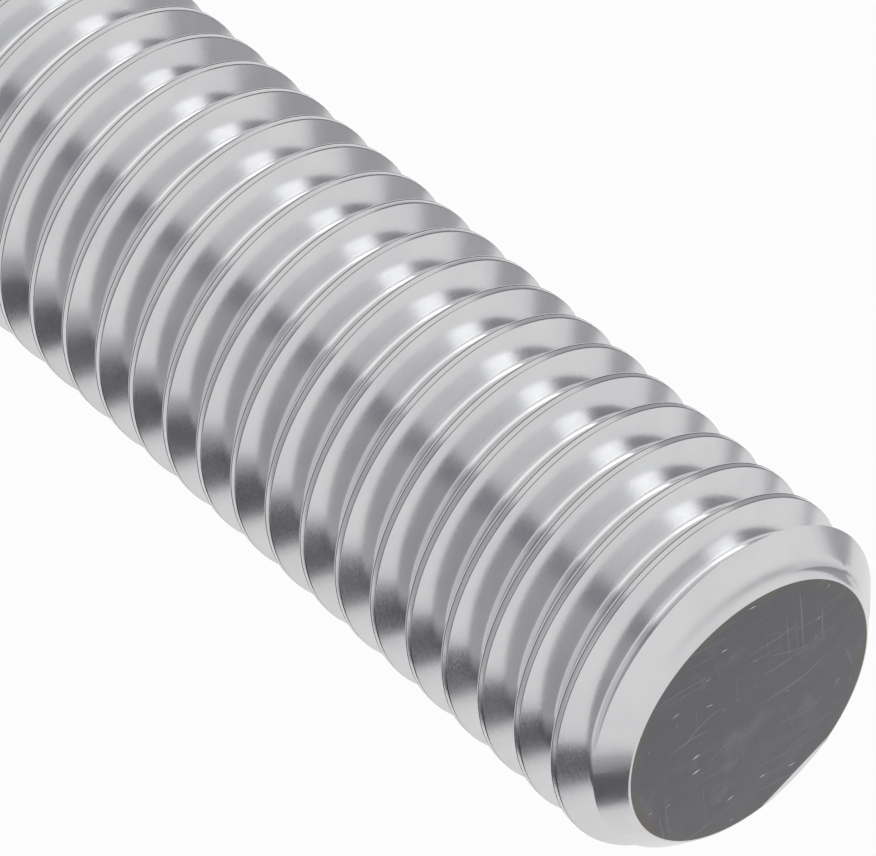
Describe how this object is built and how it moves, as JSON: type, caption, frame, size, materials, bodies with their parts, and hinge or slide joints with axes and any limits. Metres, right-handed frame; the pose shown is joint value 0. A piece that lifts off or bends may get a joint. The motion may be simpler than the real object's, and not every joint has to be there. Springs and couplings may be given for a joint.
{
  "type": "threaded rod",
  "caption": "Straight steel rod with a rolled right-hand metric screw thread over its full length and chamfered, square-cut ends, for fastening with nuts.",
  "frame": {"origin": "centre of the lower end face, on the rod's axis", "axes": "+Z along the rod's axis, from the lower end face to the upper one; +X and +Y are square to it"},
  "size_m": [0.0178, 0.0178, 0.1],
  "materials": {
    "rod_steel": "satin"
  },
  "bodies": {
    "root": {"threaded_rod": "rod_steel"}
  },
  "joints": []
}
